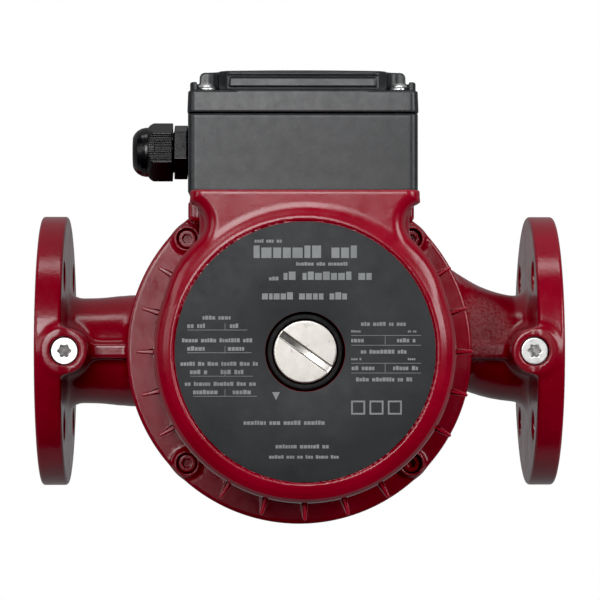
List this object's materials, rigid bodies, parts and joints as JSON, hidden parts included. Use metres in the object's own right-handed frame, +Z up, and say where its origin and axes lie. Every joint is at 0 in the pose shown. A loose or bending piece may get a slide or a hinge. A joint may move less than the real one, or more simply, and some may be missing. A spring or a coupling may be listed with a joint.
{
  "type": "circulator pump",
  "caption": "Flanged wet-rotor circulator: a cast housing between two round pipe flanges, a finned motor, a central vent plug and a terminal box with a cable gland.",
  "frame": {"origin": "where the pipe's axis meets the motor's axis, midway between the two flange faces", "axes": "+X along the pipe from the inlet to the outlet, -Y out of the motor's front, +Z up towards the terminal box"},
  "size_m": [0.25, 0.28, 0.2035],
  "materials": {
    "red_paint_cast_iron": "smooth gloss dark red paint over fine sand casting",
    "red_paint_aluminium": "smooth gloss dark red paint over die casting",
    "red_paint_steel": "dark red paint over steel screws",
    "zinc_steel": "bright zinc plating",
    "stainless_steel": "turned and pressed stainless steel",
    "bronze": "turned bronze",
    "laminated_steel": "stacked electrical steel sheets",
    "rotor_aluminium": "cast aluminium",
    "winding_copper": "enamelled copper wire",
    "bearing_carbon": "dense carbon graphite",
    "vent_plug_metal": "satin nickel plating over turned brass",
    "black_rubber": "moulded black rubber",
    "box_plastic": "fine-textured black moulded plastic",
    "gland_plastic": "satin black polyamide",
    "white_plastic": "smooth off-white moulded plastic",
    "nameplate_print": "printed dark grey film on a thin sheet"
  },
  "bodies": {
    "pump": {"pump_housing": "red_paint_cast_iron", "inlet_tapping_plug": "zinc_steel", "outlet_tapping_plug": "zinc_steel", "neck_ring": "bronze", "motor_housing": "red_paint_aluminium", "housing_gasket": "black_rubber", "nameplate": "nameplate_print", "bearing_plate": "stainless_steel", "pump_side_bearing": "bearing_carbon", "front_bearing": "bearing_carbon", "front_bearing_holder": "stainless_steel", "stator_can": "stainless_steel", "stator_core": "laminated_steel", "stator_winding": "winding_copper", "motor_bolt_1": "red_paint_steel", "motor_bolt_2": "red_paint_steel", "motor_bolt_3": "red_paint_steel", "motor_bolt_4": "red_paint_steel", "terminal_box": "box_plastic", "terminal_box_seal": "black_rubber", "terminal_box_screw_1": "zinc_steel", "terminal_box_screw_2": "zinc_steel", "gland_body": "gland_plastic", "gland_washer": "black_rubber", "gland_locknut": "gland_plastic", "terminal_block": "white_plastic", "terminal_screw_1": "vent_plug_metal", "terminal_screw_2": "vent_plug_metal", "terminal_screw_3": "vent_plug_metal", "terminal_screw_4": "vent_plug_metal", "terminal_screw_5": "vent_plug_metal", "terminal_screw_6": "vent_plug_metal", "terminal_screw_7": "vent_plug_metal", "terminal_screw_8": "vent_plug_metal", "capacitor": "white_plastic", "capacitor_clip": "stainless_steel", "motor_lead_1": "winding_copper", "motor_lead_2": "winding_copper", "motor_lead_3": "winding_copper"},
    "rotor": {"rotor_shaft": "stainless_steel", "rotor_core": "laminated_steel", "rotor_end_ring_pump_side": "rotor_aluminium", "rotor_end_ring_front": "rotor_aluminium", "impeller": "stainless_steel", "impeller_nut": "zinc_steel", "split_cone": "bronze", "thrust_bearing": "bearing_carbon"},
    "terminal_lid": {"terminal_lid": "box_plastic", "lid_gasket": "black_rubber", "lid_screw_1": "zinc_steel", "lid_screw_2": "zinc_steel", "lid_screw_3": "zinc_steel", "lid_screw_4": "zinc_steel"},
    "vent_plug_seal": {"vent_plug_seal": "black_rubber"},
    "vent_plug": {"vent_plug": "vent_plug_metal"},
    "gland_insert": {"gland_insert": "black_rubber"},
    "gland_nut": {"gland_nut": "gland_plastic"}
  },
  "joints": [
    {"name": "rotor_spin", "type": "hinge", "parent": "pump", "child": "rotor", "pos_m": [0, 0, 0], "axis": [0, -1, 0], "continuous": true},
    {"name": "lid_lift", "type": "slide", "parent": "pump", "child": "terminal_lid", "axis": [0, 0, 1], "range_m": [0, 0.06]},
    {"name": "vent_plug_travel", "type": "slide", "parent": "pump", "child": "vent_plug_seal", "axis": [0, -1, 0], "range_m": [0, 0.0071]},
    {"name": "vent_plug_turn", "type": "hinge", "parent": "vent_plug_seal", "child": "vent_plug", "pos_m": [0, 0, 0], "axis": [0, -1, 0], "range_deg": [0, 1800]},
    {"name": "gland_nut_travel", "type": "slide", "parent": "pump", "child": "gland_insert", "axis": [-1, 0, 0], "range_m": [0, 0.0046]},
    {"name": "gland_nut_turn", "type": "hinge", "parent": "gland_insert", "child": "gland_nut", "pos_m": [0, -0.107, 0.0895], "axis": [-1, 0, 0], "range_deg": [0, 1080]}
  ],
  "couplings": [
    {"joint": "vent_plug_travel", "follows": "vent_plug_turn", "m_per_rad": 0.00022282},
    {"joint": "gland_nut_travel", "follows": "gland_nut_turn", "m_per_rad": 0.00023873}
  ]
}
